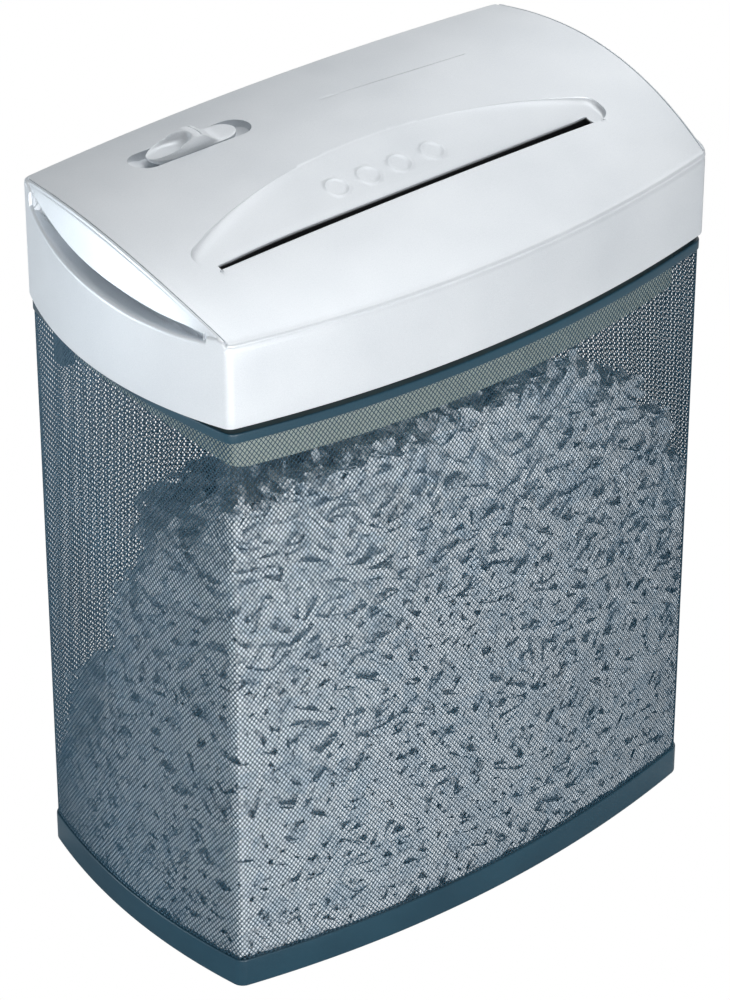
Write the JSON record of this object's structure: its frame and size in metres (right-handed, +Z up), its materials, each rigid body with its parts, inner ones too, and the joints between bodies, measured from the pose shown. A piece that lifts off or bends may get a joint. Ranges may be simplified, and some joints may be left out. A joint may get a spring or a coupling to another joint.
{
  "type": "paper shredder",
  "caption": "Desk-side paper shredder: a silver cutting head with a letter-size paper entry and slide switch, lifting off a black mesh waste bin.",
  "frame": {"origin": "on the floor under the middle of the shredder, between the undersides of the feet", "axes": "+Z up, +X to the user's right, the front of the shredder faces -Y"},
  "size_m": [0.326, 0.1864, 0.4043],
  "materials": {
    "silver_paint": "silver metallic paint, satin",
    "tray_plastic": "warm grey moulded plastic",
    "bin_plastic": "blue-black satin plastic",
    "mesh_steel": "blue-black coated expanded steel",
    "foot_rubber": "matt rubber",
    "black_plastic": "black moulded plastic",
    "white_nylon": "natural nylon",
    "zinc_steel": "zinc-plated steel",
    "cutter_steel": "hardened steel, light oil",
    "bronze": "sintered bronze",
    "magnet_ferrite": "ferrite",
    "carbon": "carbon",
    "copper": "copper segments",
    "board_green": "glass-fibre board",
    "relay_blue": "blue relay case"
  },
  "bodies": {
    "bin": {"bin_base": "bin_plastic", "bin_feet": "foot_rubber", "mesh_wall": "mesh_steel", "mesh_seam_strip": "mesh_steel", "bin_rim": "bin_plastic", "interlock_tab": "bin_plastic"},
    "head": {"top_housing": "silver_paint", "lower_housing": "tray_plastic", "cord_gland": "black_plastic", "stripper_comb_front": "black_plastic", "stripper_comb_rear": "black_plastic", "frame_plate_left": "zinc_steel", "frame_plate_right": "zinc_steel", "tie_rods": "zinc_steel", "tie_rod_nuts": "zinc_steel", "shaft_bushings": "bronze", "throat_guide_front": "black_plastic", "throat_guide_rear": "black_plastic", "lever_pin": "zinc_steel", "entry_sensor": "black_plastic", "gear_axles": "zinc_steel", "gearbox_posts": "zinc_steel", "gearbox_cover": "black_plastic", "motor_can": "zinc_steel", "motor_end_cap": "black_plastic", "motor_magnets": "magnet_ferrite", "motor_brushes": "carbon", "control_board": "board_green", "board_relay": "relay_blue", "board_capacitor": "black_plastic", "board_connectors": "white_nylon", "switch_body": "black_plastic", "interlock_switch": "black_plastic", "housing_screws": "zinc_steel", "frame_screws": "zinc_steel", "board_screws": "zinc_steel", "cover_screws": "zinc_steel", "motor_screws": "zinc_steel"},
    "slider": {"switch_slider": "silver_paint"},
    "lever": {"sensor_lever": "white_nylon"},
    "plunger": {"interlock_plunger": "white_nylon"},
    "cutter_front": {"cutter_shaft_front": "cutter_steel", "cutter_discs_front": "cutter_steel", "sync_gear_front": "cutter_steel"},
    "cutter_rear": {"cutter_shaft_rear": "cutter_steel", "cutter_discs_rear": "cutter_steel", "sync_gear_rear": "cutter_steel", "main_gear": "cutter_steel"},
    "second_stage": {"second_gear": "white_nylon"},
    "first_stage": {"first_gear": "white_nylon"},
    "rotor": {"motor_shaft": "cutter_steel", "armature_core": "magnet_ferrite", "commutator": "copper", "motor_pinion": "cutter_steel"}
  },
  "joints": [
    {"name": "head_lift", "type": "slide", "parent": "bin", "child": "head", "axis": [0, 0, 1], "range_m": [0, 0.15]},
    {"name": "switch_slide", "type": "slide", "parent": "head", "child": "slider", "axis": [1, 0, 0], "range_m": [-0.008, 0.008]},
    {"name": "entry_lever", "type": "hinge", "parent": "head", "child": "lever", "pos_m": [-0.0055, -0.026, 0.372], "axis": [1, 0, 0], "range_deg": [0, 25], "stiffness_Nm_per_rad": 0.002, "springref_deg": -8.59},
    {"name": "safety_plunger", "type": "slide", "parent": "head", "child": "plunger", "axis": [0, 0, 1], "range_m": [-0.004, 0]},
    {"name": "motor_spin", "type": "hinge", "parent": "head", "child": "rotor", "pos_m": [0.078, 0.052, 0.34572], "axis": [1, 0, 0], "continuous": true},
    {"name": "first_gear_spin", "type": "hinge", "parent": "head", "child": "first_stage", "pos_m": [0.1175, 0.03278, 0.33725], "axis": [1, 0, 0], "continuous": true},
    {"name": "second_gear_spin", "type": "hinge", "parent": "head", "child": "second_stage", "pos_m": [0.125, 0.01079, 0.34686], "axis": [1, 0, 0], "continuous": true},
    {"name": "cutter_rear_spin", "type": "hinge", "parent": "head", "child": "cutter_rear", "pos_m": [0, -0.0167, 0.332], "axis": [1, 0, 0], "continuous": true},
    {"name": "cutter_front_spin", "type": "hinge", "parent": "head", "child": "cutter_front", "pos_m": [-0.01, -0.0467, 0.332], "axis": [1, 0, 0], "continuous": true}
  ],
  "couplings": [
    {"joint": "first_gear_spin", "follows": "motor_spin", "ratio": -0.2},
    {"joint": "second_gear_spin", "follows": "motor_spin", "ratio": 0.05},
    {"joint": "cutter_rear_spin", "follows": "motor_spin", "ratio": -0.0125},
    {"joint": "cutter_front_spin", "follows": "motor_spin", "ratio": 0.0125},
    {"joint": "safety_plunger", "follows": "head_lift", "ratio": -0.0266}
  ]
}
